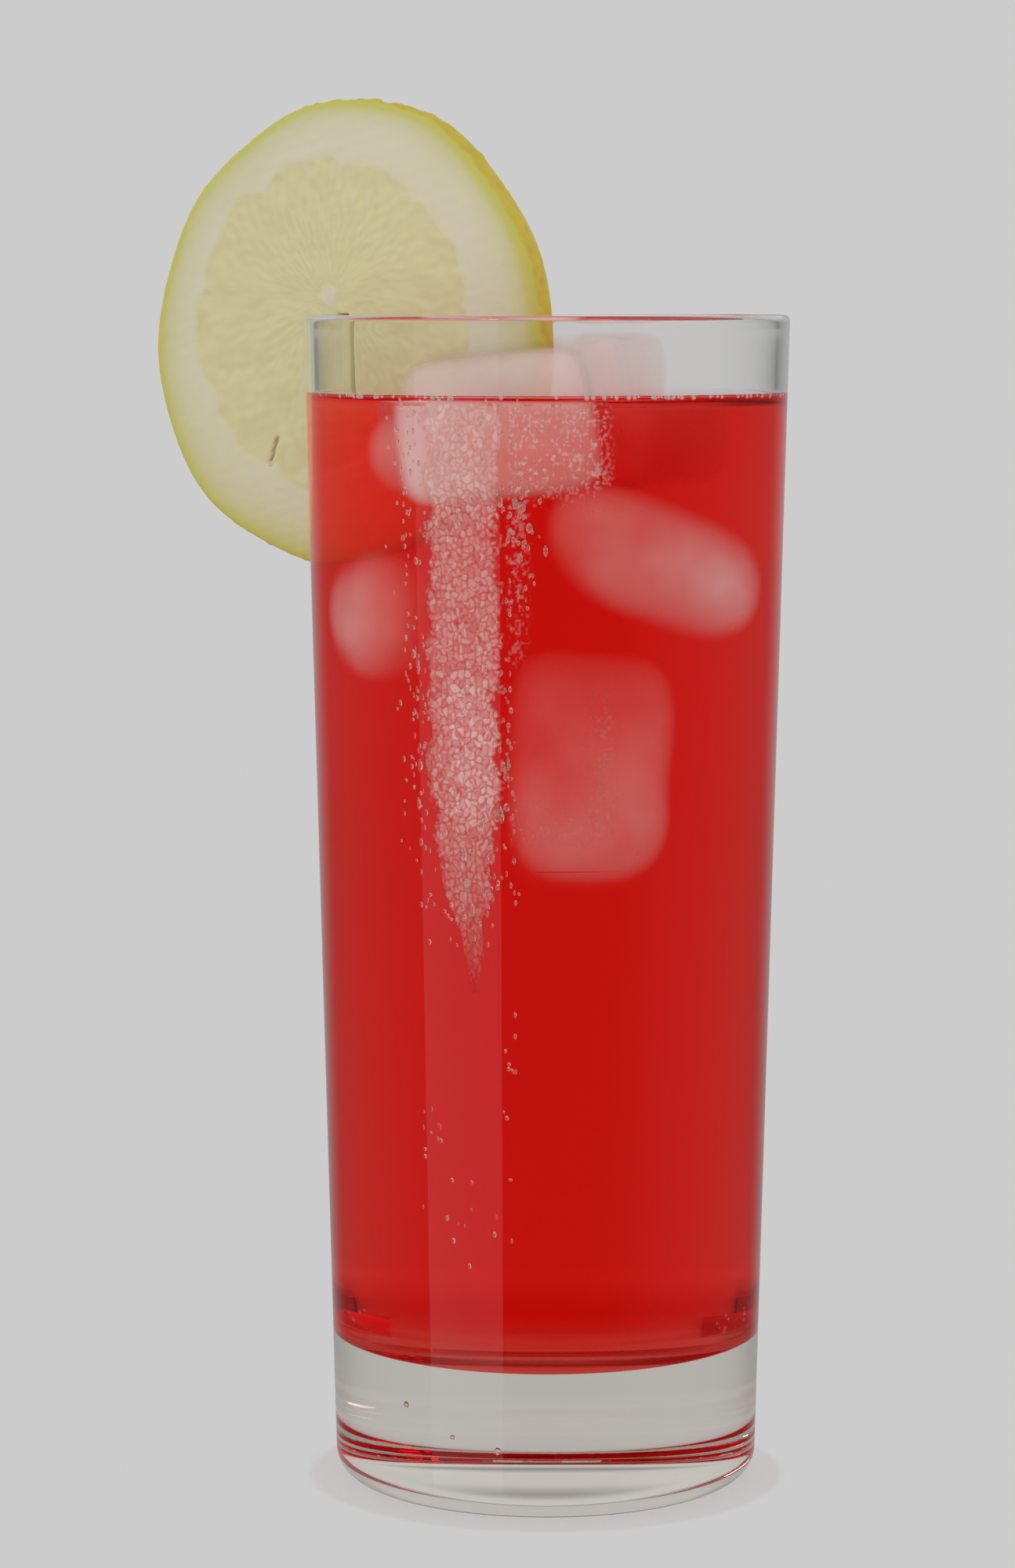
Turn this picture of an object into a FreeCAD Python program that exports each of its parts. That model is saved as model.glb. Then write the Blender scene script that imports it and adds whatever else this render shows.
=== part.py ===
"""Tall straight glass of iced fruit punch with a lemon slice hung on its rim.

The row frame has its origin on the table under the middle of the glass, with +Z up.
The drinker stands on the -Y side, and the lemon slice hangs on the rim at the back left.
All sizes are millimetres, and angles are degrees.
"""
import FreeCAD, Part

import math
import os

import Sketcher

PARTS_FOLDER = "parts"
MELT_LIMIT = 0.45          # largest rounding of an ice cube, as a share of its thinnest side
SLICE_POINTS = 36          # points that carry the uneven outline of the slice
# Waves of the slice's outline: how many times round, share of the radius, phase in radians.
SLICE_WAVES = [(2, 0.005, -1.7), (3, 0.015, 1.9), (5, 0.004, -0.3), (9, 0.006, 2.7)]

doc = FreeCAD.newDocument("FruitPunch")


# ---------------------------------------------------------------- driving dimensions
SIZES = [
    # alias, value, what it is
    ("glass_height", 157.0, "table to the top of the rim"),
    ("rim_radius", 32.4, "outside radius at the rim"),
    ("base_radius", 28.4, "outside radius of the tapered wall carried down to the table"),
    ("wall_thickness", 1.7, "thickness of the wall, measured level"),
    ("floor_height", 19.5, "table to the inside floor: the thick clear base"),
    ("floor_corner", 4.5, "radius between the inside floor and the wall"),
    ("heel_radius", 4.0, "radius of the outside bottom edge"),
    ("punt_radius", 23.2, "radius of the hollow under the base"),
    ("punt_depth", 2.2, "height of the hollow at its middle"),
    ("rim_round", 0.8, "radius of the fire-polished edges of the rim"),
    ("headspace", 11.0, "top of the rim down to the punch"),
    ("slice_radius", 31.6, "mean radius of the lemon slice"),
    ("slice_thickness", 4.6, "thickness of the lemon slice"),
    ("slice_turn", 33.0, "turn of the slice's plane about the glass axis"),
    ("slot_offset", 0.0, "slice centre to the middle of the wall, outwards"),
    ("slot_rise", 3.3, "slice centre up to the closed end of its slot"),
    ("slot_clearance", 0.12, "gap between the slot and the glass, each side"),
    ("ice_round", 5.0, "radius of the melted edges of the ice"),
    ("ice_gap", 1.0, "least gap between ice and the glass or the slice"),
    ("front_width", 25.0, "front ice cube, left to right"),
    ("front_height", 20.0, "front ice cube, upwards"),
    ("front_left", 6.3, "glass axis to the middle of the front cube, leftwards"),
    ("front_proud", 6.8, "front cube above the punch"),
    ("front_lean", 7.0, "lean of the front cube about the line of sight"),
    ("back_width", 16.0, "back ice cube, along the slice"),
    ("back_depth", 17.0, "back ice cube, across the slice"),
    ("back_height", 22.0, "back ice cube, upwards"),
    ("back_proud", 9.2, "back cube above the punch"),
]

sheet = doc.addObject("Spreadsheet::Sheet", "Sizes")
for row, (alias, value, meaning) in enumerate(SIZES, start=1):
    sheet.set(f"A{row}", alias)
    sheet.set(f"B{row}", str(value))
    sheet.set(f"C{row}", meaning)
    sheet.setAlias(f"B{row}", alias)
doc.recompute()


def size(alias):
    """Value of one driving dimension, read from the sheet."""
    return float(sheet.get(alias))


# Radii of the tapered wall at a height, as expressions on the sheet.
def outside_at(height):
    """Expression for the outside radius of the glass at a height."""
    return ("(Sizes.base_radius + (Sizes.rim_radius - Sizes.base_radius)"
            f" * ({height}) / Sizes.glass_height)")


def inside_at(height):
    """Expression for the inside radius of the glass at a height."""
    return f"({outside_at(height)} - Sizes.wall_thickness)"


LEVEL = "(Sizes.glass_height - Sizes.headspace)"


# ---------------------------------------------------------------- sketching on a body's own plane
def origin_plane(body, role):
    """One of the body's own origin planes, found by its role."""
    return next(item for item in body.Origin.OriginFeatures if item.Role == role)


def section(body, name, corners):
    """Closed outline on the body's XZ plane, with each corner tied to expressions.

    corners is a list of (radius, height) expressions. A literal "0" puts the corner on the axis
    or on the table.
    """
    sketch = body.newObject("Sketcher::SketchObject", name)
    sketch.AttachmentSupport = (origin_plane(body, "XZ_Plane"), [""])
    sketch.MapMode = "FlatFace"
    doc.recompute()
    places = [(value_of(across), value_of(up)) for across, up in corners]
    count = len(places)
    for i in range(count):
        start = FreeCAD.Vector(*places[i], 0)
        end = FreeCAD.Vector(*places[(i + 1) % count], 0)
        sketch.addGeometry(Part.LineSegment(start, end), False)
    for i in range(count):
        sketch.addConstraint(Sketcher.Constraint("Coincident", i, 2, (i + 1) % count, 1))
    for i, (across, up) in enumerate(corners):
        pin_corner(sketch, i, across, "DistanceX", -2)
        pin_corner(sketch, i, up, "DistanceY", -1)
    doc.recompute()
    return sketch


def pin_corner(sketch, line, expression, kind, axis):
    """Hold the start of a line at an expression's distance from an axis, or on that axis."""
    if expression == "0":
        sketch.addConstraint(Sketcher.Constraint("PointOnObject", line, 1, axis))
        return
    index = sketch.addConstraint(
        Sketcher.Constraint(kind, -1, 1, line, 1, value_of(expression)))
    sketch.setExpression(f"Constraints[{index}]", expression)


def value_of(expression):
    """Number that an expression on the sheet gives now."""
    result = sheet.evalExpression(expression)
    return float(getattr(result, "Value", result))


def turn_section(body, sketch, kind, name):
    """Revolve a section about the vertical axis, adding (Revolution) or cutting (Groove)."""
    feature = body.newObject(f"PartDesign::{kind}", name)
    feature.Profile = sketch
    feature.ReferenceAxis = (sketch, ["V_Axis"])
    feature.Angle = 360
    body.Tip = feature
    doc.recompute()
    return feature


def ring_edge(shape, radius, height):
    """Name of the level circular edge nearest to a radius and height."""
    def miss(edge):
        if not isinstance(edge.Curve, Part.Circle):
            return math.inf
        return abs(edge.Curve.Radius - radius) + abs(edge.Curve.Center.z - height)
    best = min(range(len(shape.Edges)), key=lambda i: miss(shape.Edges[i]))
    return f"Edge{best + 1}"


def round_ring(body, name, radius, height, radius_cell):
    """Fillet the level circular edge at a radius and height, with its size from the sheet."""
    base = body.Tip
    fillet = body.newObject("PartDesign::Fillet", name)
    fillet.Base = (base, [ring_edge(base.Shape, value_of(radius), value_of(height))])
    fillet.setExpression("Radius", f"Sizes.{radius_cell}")
    body.Tip = fillet
    doc.recompute()
    return fillet


# ---------------------------------------------------------------- the glass
def make_glass():
    """Pressed tumbler: tapered wall, thick floor, rounded heel and rim, hollow under the base."""
    body = doc.addObject("PartDesign::Body", "glass")
    blank = section(body, "BlankSection", [
        ("0", "0"),
        ("Sizes.base_radius", "0"),
        ("Sizes.rim_radius", "Sizes.glass_height"),
        ("0", "Sizes.glass_height"),
    ])
    turn_section(body, blank, "Revolution", "Blank")
    full = body.Shape.Volume
    bore = section(body, "BoreSection", [
        ("0", "Sizes.floor_height"),
        (inside_at("Sizes.floor_height"), "Sizes.floor_height"),
        (inside_at("Sizes.glass_height"), "Sizes.glass_height"),
        ("0", "Sizes.glass_height"),
    ])
    turn_section(body, bore, "Groove", "Bore")
    if body.Shape.Volume > 0.7 * full:
        raise RuntimeError("the bore cut nothing out of the glass")
    round_ring(body, "FloorCorner", inside_at("Sizes.floor_height"), "Sizes.floor_height",
               "floor_corner")
    round_ring(body, "Heel", "Sizes.base_radius", "0", "heel_radius")
    round_ring(body, "RimOutside", "Sizes.rim_radius", "Sizes.glass_height", "rim_round")
    round_ring(body, "RimInside", inside_at("Sizes.glass_height"), "Sizes.glass_height",
               "rim_round")
    hollow_base(body)
    return body


def hollow_base(body):
    """Cut the punt: a shallow spherical hollow that leaves a flat ring foot."""
    solid = body.Shape.Volume
    sketch = body.newObject("Sketcher::SketchObject", "PuntSection")
    sketch.AttachmentSupport = (origin_plane(body, "XZ_Plane"), [""])
    sketch.MapMode = "FlatFace"
    reach, depth = size("punt_radius"), size("punt_depth")
    ball = (reach ** 2 + depth ** 2) / (2 * depth)
    edge = FreeCAD.Vector(reach, 0, 0)
    top = FreeCAD.Vector(0, depth, 0)
    half = math.asin(reach / ball) / 2
    middle = FreeCAD.Vector(ball * math.sin(half), depth - ball * (1 - math.cos(half)), 0)
    foot = FreeCAD.Vector(0, 0, 0)
    sketch.addGeometry(Part.Arc(edge, middle, top), False)
    sketch.addGeometry(Part.LineSegment(top, foot), False)
    sketch.addGeometry(Part.LineSegment(foot, edge), False)
    sketch.addConstraint(Sketcher.Constraint("Coincident", 0, 2, 1, 1))
    sketch.addConstraint(Sketcher.Constraint("Coincident", 1, 2, 2, 1))
    sketch.addConstraint(Sketcher.Constraint("Coincident", 2, 2, 0, 1))
    sketch.addConstraint(Sketcher.Constraint("Coincident", 1, 2, -1, 1))
    sketch.addConstraint(Sketcher.Constraint("PointOnObject", 0, 1, -1))
    sketch.addConstraint(Sketcher.Constraint("PointOnObject", 0, 2, -2))
    sketch.addConstraint(Sketcher.Constraint("PointOnObject", 0, 3, -2))
    width = sketch.addConstraint(Sketcher.Constraint("DistanceX", -1, 1, 0, 1, reach))
    rise = sketch.addConstraint(Sketcher.Constraint("DistanceY", -1, 1, 0, 2, depth))
    sketch.setExpression(f"Constraints[{width}]", "Sizes.punt_radius")
    sketch.setExpression(f"Constraints[{rise}]", "Sizes.punt_depth")
    doc.recompute()
    turn_section(body, sketch, "Groove", "Punt")
    if body.Shape.Volume >= solid:
        raise RuntimeError("the punt cut nothing out of the base")


# ---------------------------------------------------------------- the lemon slice
def slice_outline(radius):
    """Periodic curve round the slice in its own XZ plane.

    A lemon is never quite round: a few low waves make its flats and shoulders.
    """
    points = []
    for i in range(SLICE_POINTS):
        angle = 2 * math.pi * i / SLICE_POINTS
        swell = sum(share * math.cos(times * angle + phase)
                    for times, share, phase in SLICE_WAVES)
        reach = radius * (1 + swell)
        points.append(FreeCAD.Vector(reach * math.cos(angle), 0, reach * math.sin(angle)))
    curve = Part.BSplineCurve()
    curve.interpolate(Points=points, PeriodicFlag=True)
    return Part.Wire(curve.toShape())


def make_slice_disc():
    """Uncut lemon slice, standing in the upright plane through the glass axis.

    slice_turn gives the plane's direction, and the slice hangs on the rim at the back left.
    """
    thickness = size("slice_thickness")
    face = Part.Face(slice_outline(size("slice_radius")))
    face.translate(FreeCAD.Vector(0, -thickness / 2, 0))
    disc = doc.addObject("Part::Feature", "SliceDisc")
    disc.Shape = face.extrude(FreeCAD.Vector(0, thickness, 0))
    out = (value_of(outside_at("Sizes.glass_height")) - size("wall_thickness") / 2
           + size("slot_offset"))
    centre_height = size("glass_height") + size("slot_clearance") - size("slot_rise")
    turn = FreeCAD.Rotation(FreeCAD.Vector(0, 0, 1), -size("slice_turn"))
    disc.Placement = FreeCAD.Placement(
        turn.multVec(FreeCAD.Vector(-out, 0, centre_height)), turn)
    return disc


def make_slot_band():
    """The tapered wall of the glass with the slot's clearance all round: the knife cut's shape."""
    top = "(Sizes.glass_height + Sizes.slot_clearance)"
    outer = doc.addObject("Part::Cone", "BandOuter")
    outer.setExpression("Radius1", f"{outside_at('0')} + Sizes.slot_clearance")
    outer.setExpression("Radius2", f"{outside_at(top)} + Sizes.slot_clearance")
    outer.setExpression("Height", top)
    inner = doc.addObject("Part::Cone", "BandInner")
    inner.setExpression("Radius1", f"{inside_at('0')} - Sizes.slot_clearance")
    inner.setExpression("Radius2", f"{inside_at(top)} - Sizes.slot_clearance")
    inner.setExpression("Height", top)
    band = doc.addObject("Part::Cut", "SlotBand")
    band.Base, band.Tool = outer, inner
    return band


def make_lemon_slice():
    """Lemon slice with the slot that sits over the rim."""
    lemon = doc.addObject("Part::Cut", "lemon_slice")
    lemon.Base, lemon.Tool = make_slice_disc(), make_slot_band()
    doc.recompute()
    return lemon


# ---------------------------------------------------------------- the floating ice
def make_ice(name, width, depth, height):
    """Ice cube centred on its own origin, with every edge melted round."""
    body = doc.addObject("PartDesign::Body", name)
    block = body.newObject("PartDesign::AdditiveBox", f"{name}_block")
    for side, expression in (("Length", width), ("Width", depth), ("Height", height)):
        block.setExpression(side, expression)
    block.setExpression("AttachmentOffset.Base.x", f"-({width}) / 2")
    block.setExpression("AttachmentOffset.Base.y", f"-({depth}) / 2")
    block.setExpression("AttachmentOffset.Base.z", f"-({height}) / 2")
    block.AttachmentSupport = (origin_plane(body, "XY_Plane"), [""])
    block.MapMode = "FlatFace"
    body.Tip = block
    doc.recompute()
    melted = body.newObject("PartDesign::Fillet", f"{name}_melted")
    melted.Base = (block, [""])
    melted.UseAllEdges = True
    # Two roundings meet inside the cube's thinnest side, so that side limits them.
    thinnest = f"min({width}; {depth}; {height})"
    melted.setExpression("Radius", f"min(Sizes.ice_round; {MELT_LIMIT} * {thinnest})")
    body.Tip = melted
    doc.recompute()
    return body


def make_front_ice():
    """Cube in front of the slice, as deep as the room between the slice and the wall allows."""
    # The front corner that is nearest the wall stops short of it by the gap.
    reach = (f"sqrt(({inside_at(LEVEL)} - Sizes.ice_gap)^2"
             " - (Sizes.front_left + Sizes.front_width / 2)^2)")
    # The back of the cube stops short of the slice's inner end by the gap.
    slice_end = ("(Sizes.slice_radius - Sizes.rim_radius + Sizes.wall_thickness / 2"
                 " - Sizes.slot_offset)")
    back = (f"({slice_end} * sin(Sizes.slice_turn * 1 deg)"
            " + Sizes.slice_thickness / 2 * cos(Sizes.slice_turn * 1 deg) + Sizes.ice_gap)")
    body = make_ice("ice_front", "Sizes.front_width", f"{reach} - {back}",
                    "Sizes.front_height")
    across = (value_of(reach) + value_of(back)) / 2
    middle = value_of(LEVEL) + size("front_proud") - size("front_height") / 2
    lean = FreeCAD.Rotation(FreeCAD.Vector(0, 1, 0), -size("front_lean"))
    body.Placement = FreeCAD.Placement(
        FreeCAD.Vector(-size("front_left"), -across, middle), lean)
    return body


def make_back_ice():
    """Cube behind the slice, lying along it."""
    body = make_ice("ice_back", "Sizes.back_width", "Sizes.back_depth", "Sizes.back_height")
    behind = size("slice_thickness") / 2 + size("ice_gap") + size("back_depth") / 2
    middle = value_of(LEVEL) + size("back_proud") - size("back_height") / 2
    turn = FreeCAD.Rotation(FreeCAD.Vector(0, 0, 1), -size("slice_turn"))
    body.Placement = FreeCAD.Placement(
        turn.multVec(FreeCAD.Vector(0, behind, middle)), turn)
    return body


# ---------------------------------------------------------------- the punch
def make_punch(pieces_in_it):
    """Punch that fills the glass up to its level, cut round the slice and the floating ice."""
    body = doc.addObject("PartDesign::Body", "PunchFill")
    fill = section(body, "FillSection", [
        ("0", "Sizes.floor_height"),
        (inside_at("Sizes.floor_height"), "Sizes.floor_height"),
        (inside_at(LEVEL), LEVEL),
        ("0", LEVEL),
    ])
    turn_section(body, fill, "Revolution", "Fill")
    round_ring(body, "FillCorner", inside_at("Sizes.floor_height"), "Sizes.floor_height",
               "floor_corner")
    rest = body
    for piece in pieces_in_it:
        cut = doc.addObject("Part::Cut", f"PunchRound_{piece.Label}")
        cut.Base, cut.Tool = rest, piece
        rest = cut
    rest.Label = "punch"
    doc.recompute()
    return rest


# ---------------------------------------------------------------- checks and export
def check(objects):
    """Stop if any object failed to compute, or a piece isn't one valid solid."""
    for item in doc.Objects:
        if "Invalid" in item.State or "Error" in item.State:
            raise RuntimeError(f"{item.Name} failed: {item.State}")
    for item in objects:
        if item.Shape.isNull() or not item.Shape.isValid():
            raise RuntimeError(f"{item.Label} has no valid shape")
        if len(item.Shape.Solids) != 1:
            raise RuntimeError(f"{item.Label} has {len(item.Shape.Solids)} solids")


def export(objects):
    """Write each piece to its own STEP file, named after its label."""
    os.makedirs(PARTS_FOLDER, exist_ok=True)
    for item in objects:
        item.Shape.exportStep(f"{PARTS_FOLDER}/{item.Label}.step")
        box = item.Shape.BoundBox
        print(f"{item.Label}: {item.Shape.Volume / 1000:.2f} cm3,"
              f" x {box.XMin:.2f}..{box.XMax:.2f}, y {box.YMin:.2f}..{box.YMax:.2f},"
              f" z {box.ZMin:.2f}..{box.ZMax:.2f}")


glass = make_glass()
lemon_slice = make_lemon_slice()
ice_front = make_front_ice()
ice_back = make_back_ice()
punch = make_punch([lemon_slice, ice_front, ice_back])
doc.recompute()
pieces = [glass, punch, lemon_slice, ice_front, ice_back]
check(pieces)
export(pieces)
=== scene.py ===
"""Glass of iced fruit punch with a lemon slice hung on its rim.

The sections follow the drink as it is put together: the table and light it stands in, the glass,
the punch, the floating and sunk ice, the lemon slice, then the bubbles and the condensation.
Lengths in the sections are millimetres and become metres as each mesh is made.
"""
import math

import bpy
import numpy as np
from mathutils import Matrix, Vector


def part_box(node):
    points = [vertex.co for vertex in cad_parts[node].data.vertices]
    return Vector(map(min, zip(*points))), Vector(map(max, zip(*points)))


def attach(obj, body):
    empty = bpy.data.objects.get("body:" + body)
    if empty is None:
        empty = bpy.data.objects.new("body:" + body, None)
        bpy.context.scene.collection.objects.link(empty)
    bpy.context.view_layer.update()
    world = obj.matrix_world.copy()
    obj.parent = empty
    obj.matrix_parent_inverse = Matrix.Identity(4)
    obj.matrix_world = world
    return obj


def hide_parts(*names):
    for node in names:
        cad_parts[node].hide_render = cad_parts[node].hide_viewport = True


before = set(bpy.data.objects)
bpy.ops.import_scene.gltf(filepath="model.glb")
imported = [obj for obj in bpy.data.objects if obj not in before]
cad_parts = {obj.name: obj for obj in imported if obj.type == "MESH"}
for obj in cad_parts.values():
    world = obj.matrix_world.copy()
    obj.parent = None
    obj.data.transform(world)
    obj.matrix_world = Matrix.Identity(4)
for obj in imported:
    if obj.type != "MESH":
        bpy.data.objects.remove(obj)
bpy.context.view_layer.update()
MM = 0.001


# ------------------------------------------------------------------ camera, table and studio light
# The drink stands on a pale seamless table. A big soft light stands at the front left and shows
# in the glass as one tall band; the side of the room behind the viewer is dark.

CAMERA_DISTANCE = 620.0
CAMERA_HEIGHT = 159.7
CAMERA_ASIDE = -5.2
CAMERA_TILT = 6.03         # degrees down
FOCAL = 106.4
SENSOR_HEIGHT = 36.0
PALE = "#CCCCCC"
AMBIENT = 0.80             # light from all round, on a white surface
SPENT = 2.5                # mirrored more often than this, light in the glass counts as stray,
STRAY = 0.45               # and stray light is this bright
LAMP_AIM = 90.0            # height that the lamps point at


def linear(hex_colour):
    """sRGB hex text to a linear RGBA colour."""
    parts = np.array([int(hex_colour[i:i + 2], 16) / 255 for i in (1, 3, 5)])
    flat = np.where(parts <= 0.04045, parts / 12.92, ((parts + 0.055) / 1.055) ** 2.4)
    return (*flat.tolist(), 1.0)


def add_node(tree, kind, inputs=None, **settings):
    """Add a shader node; inputs maps socket names or numbers to values or to what feeds them.

    That is an output socket, or a node, which feeds by its first output.
    """
    made = tree.nodes.new(kind)
    for name, value in settings.items():
        setattr(made, name, value)
    for name, value in (inputs or {}).items():
        if isinstance(value, bpy.types.Node):
            value = value.outputs[0]
        if isinstance(value, bpy.types.NodeSocket):
            tree.links.new(value, made.inputs[name])
        else:
            made.inputs[name].default_value = value
    return made


scene = bpy.context.scene
scene.view_settings.view_transform = "Standard"

camera_data = bpy.data.cameras.new("camera")
camera_data.sensor_fit = "VERTICAL"
camera_data.sensor_height = SENSOR_HEIGHT
camera_data.lens = FOCAL
camera = bpy.data.objects.new("camera", camera_data)
camera.location = (CAMERA_ASIDE * MM, -CAMERA_DISTANCE * MM, CAMERA_HEIGHT * MM)
camera.rotation_euler = (math.radians(90 - CAMERA_TILT), 0, 0)
scene.collection.objects.link(camera)
scene.camera = camera

world = bpy.data.worlds.new("studio")
scene.world = world
world.use_nodes = True
tree = world.node_tree
tree.nodes.clear()
path = add_node(tree, "ShaderNodeLightPath")
place = add_node(tree, "ShaderNodeTexCoord")
axes = add_node(tree, "ShaderNodeSeparateXYZ", {0: place.outputs["Object"]})
# What a reflection shows: a dark room with dim sides, the lit backdrop at its far end, low down
# all round and at eye level, a dim ceiling, and the pale floor where it is met steeply.
# Each has the axis that it follows, where on it it starts and ends, and how bright it is there.
ROOM = {"sides": ("Y", -0.95, -0.3, 0.01, 0.08), "far_end": ("Y", 0.7, 1.0, 0.0, 0.30),
        "low_sky": ("Z", 0.08, 0.25, 0.0, 0.70), "high_sky": ("Z", 0.42, 0.60, 0.0, -0.34),
        "pale_floor": ("Z", -0.45, -0.8, 0.0, linear(PALE)[0]),
        "eye_level": ("Z", -0.045, -0.005, 0.0, 0.38)}
part = {name: add_node(tree, "ShaderNodeMapRange",
                       {"Value": axes.outputs[axis], "From Min": start, "From Max": end,
                        "To Min": at_start, "To Max": at_end},
                       interpolation_type="SMOOTHSTEP")
        for name, (axis, start, end, at_start, at_end) in ROOM.items()}
walls = add_node(tree, "ShaderNodeMath", {0: part["sides"], 1: part["far_end"]})
sky = add_node(tree, "ShaderNodeMath", {0: part["low_sky"], 1: part["high_sky"]})
# Light that has been mirrored about in the glass three times comes from all round: a plain grey.
often = add_node(
    tree, "ShaderNodeMath", {0: path.outputs["Glossy Depth"], 1: SPENT}, operation="GREATER_THAN")
room = add_node(tree, "ShaderNodeMath", {0: often, 1: STRAY}, operation="MULTIPLY")
for other in (walls, sky, part["pale_floor"], part["eye_level"]):
    room = add_node(tree, "ShaderNodeMath", {0: room, 1: other}, operation="MAXIMUM")
# Seen straight, or through the glass, the backdrop is plain; a matt surface gets AMBIENT.
reflected = add_node(
    tree, "ShaderNodeMath", {0: path.outputs["Glossy Depth"], 1: 0.5}, operation="GREATER_THAN")
shown = add_node(tree, "ShaderNodeMix", {0: reflected, 2: linear(PALE)[0], 3: room})
straight = add_node(tree, "ShaderNodeMath", {0: path.outputs["Is Camera Ray"],
                                             1: path.outputs["Is Glossy Ray"]},
                    operation="MAXIMUM")
undiffused = add_node(
    tree, "ShaderNodeMath", {0: path.outputs["Diffuse Depth"], 1: 0.5}, operation="LESS_THAN")
seen = add_node(tree, "ShaderNodeMath", {0: straight, 1: undiffused}, operation="MULTIPLY")
level = add_node(tree, "ShaderNodeMix", {0: seen, 2: AMBIENT, 3: shown})
background = add_node(tree, "ShaderNodeBackground", {"Color": (1, 1, 1, 1), "Strength": level})
add_node(tree, "ShaderNodeOutputWorld", {"Surface": background})


def softbox(name, bearing, distance, height, width, tall, radiance):
    """Rectangular area light aimed at the glass; bearing is degrees left of the viewer."""
    data = bpy.data.lights.new(name, "AREA")
    data.shape = "RECTANGLE"
    data.size, data.size_y = width * MM, tall * MM
    data.energy = radiance * math.pi * data.size * data.size_y
    lamp = bpy.data.objects.new(name, data)
    turn = math.radians(bearing)
    lamp.location = (-distance * MM * math.sin(turn), -distance * MM * math.cos(turn), height * MM)
    aim = math.atan2(height - LAMP_AIM, distance)
    lamp.rotation_euler = (math.pi / 2 - aim, 0, -turn)
    lamp.visible_transmission = False
    scene.collection.objects.link(lamp)


softbox("band_softbox", 43.5, 900, 180, width=710, tall=1100, radiance=0.42)
softbox("key_lamp", 35.0, 900, 1250, width=170, tall=170, radiance=8.0)

FLOOR_RADIUS = 260.0
FLOOR_THICK = 2.0
FLOOR_DROP = 0.05          # the table lies a hair under the foot, so that the faces don't fight
FLOOR_WHITE = "#C8C8C8"
SHADOW_SHARE = 0.24        # how much of the real shading the white table keeps near the foot
SHADOW_REACH = (28.5, 33.0)  # the real shading fades into the plain backdrop between these radii


def skins(name, rings, starts, ends):
    """One mesh of closed skins from rings of points (skin, ring, point around, xyz) in mm.

    Neighbouring rings are joined by quads, and a fan of triangles closes each end on one point.
    """
    many, count, around = rings.shape[:3]
    points = np.concatenate([rings.reshape(many, -1, 3), starts[:, None], ends[:, None]], axis=1)
    here = np.arange(around)
    ahead = (here + 1) % around
    row = (np.arange(count - 1) * around)[:, None]
    quads = np.stack([row + here, row + ahead, row + around + ahead, row + around + here], axis=-1)
    last = (count - 1) * around
    fans = np.concatenate([
        np.stack([np.full(around, count * around), ahead, here], axis=-1),
        np.stack([np.full(around, count * around + 1), last + here, last + ahead], axis=-1)])
    shift = (np.arange(many) * points.shape[1])[:, None, None]
    mesh = bpy.data.meshes.new(name)
    mesh.from_pydata((points.reshape(-1, 3) * MM).tolist(), [],
                     (quads.reshape(1, -1, 4) + shift).reshape(-1, 4).tolist()
                     + (fans[None] + shift).reshape(-1, 3).tolist())
    mesh.shade_smooth()
    made = bpy.data.objects.new(name, mesh)
    scene.collection.objects.link(made)
    return made


def skin(name, rings, start, end):
    """One closed skin from rings of points (ring, point around, xyz) in mm."""
    return skins(name, rings[None], np.array([start]), np.array([end]))


def mark(mesh, name, values):
    """Store one value a point on a mesh."""
    layer = mesh.attributes.new(name, "FLOAT", "POINT")
    layer.data.foreach_set("value", values.astype(np.float32).ravel())


def mark_rings(piece, name, values, around):
    """Store one value a ring on a skin's points, and the end rings' values on its two ends."""
    mark(piece.data, name, np.concatenate([np.repeat(values, around), [values[0], values[-1]]]))


def turned(profile, around):
    """Rings of a profile of (radius, height) points turned about the glass axis.

    x = radius * cos(angle), y = radius * sin(angle), z = height.
    """
    angle = np.linspace(0, 2 * np.pi, around, endpoint=False)
    radius, height = profile[:, 0:1], profile[:, 1:2]
    return np.stack([radius * np.cos(angle), radius * np.sin(angle), height + 0 * angle], axis=-1)


def new_material(name):
    """Empty node material and its tree."""
    made = bpy.data.materials.new(name)
    made.use_nodes = True
    made.node_tree.nodes.clear()
    return made, made.node_tree


floor_profile = np.array([[FLOOR_RADIUS, -FLOOR_DROP - FLOOR_THICK], [FLOOR_RADIUS, -FLOOR_DROP],
                          [100.0, -FLOOR_DROP], [50.0, -FLOOR_DROP], [20.0, -FLOOR_DROP]])
floor = skin(
    "table", turned(floor_profile, 96), (0, 0, -FLOOR_DROP - FLOOR_THICK), (0, 0, -FLOOR_DROP))
floor.data.shade_flat()
paper, tree = new_material("matt_paper")
# Matt white paper. Seen straight it keeps SHADOW_SHARE of its shading near the foot and is the
# plain backdrop further out; glass in front of it shows the backdrop, and a mirror nothing.
path = add_node(tree, "ShaderNodeLightPath")
place = add_node(tree, "ShaderNodeTexCoord")
out = add_node(tree, "ShaderNodeVectorMath", {0: place.outputs["Object"]}, operation="LENGTH")
fade = add_node(tree, "ShaderNodeMapRange",
                {"Value": out.outputs["Value"], "From Min": SHADOW_REACH[0] * MM,
                 "From Max": SHADOW_REACH[1] * MM}, interpolation_type="SMOOTHSTEP")
unshaded = add_node(tree, "ShaderNodeMath", {0: fade, 1: 1 - SHADOW_SHARE}, operation="MAXIMUM")
open_floor = add_node(
    tree, "ShaderNodeMath", {0: unshaded, 1: path.outputs["Is Camera Ray"]}, operation="MULTIPLY")
plain = add_node(tree, "ShaderNodeMath", {0: open_floor,
                                          1: path.outputs["Is Transmission Ray"]},
                 operation="MAXIMUM")
matt = add_node(tree, "ShaderNodeBsdfDiffuse", {"Color": linear(FLOOR_WHITE)})
glow = add_node(tree, "ShaderNodeEmission", {"Color": linear(PALE), "Strength": 1.0})
clear = add_node(tree, "ShaderNodeBsdfTransparent")
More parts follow.
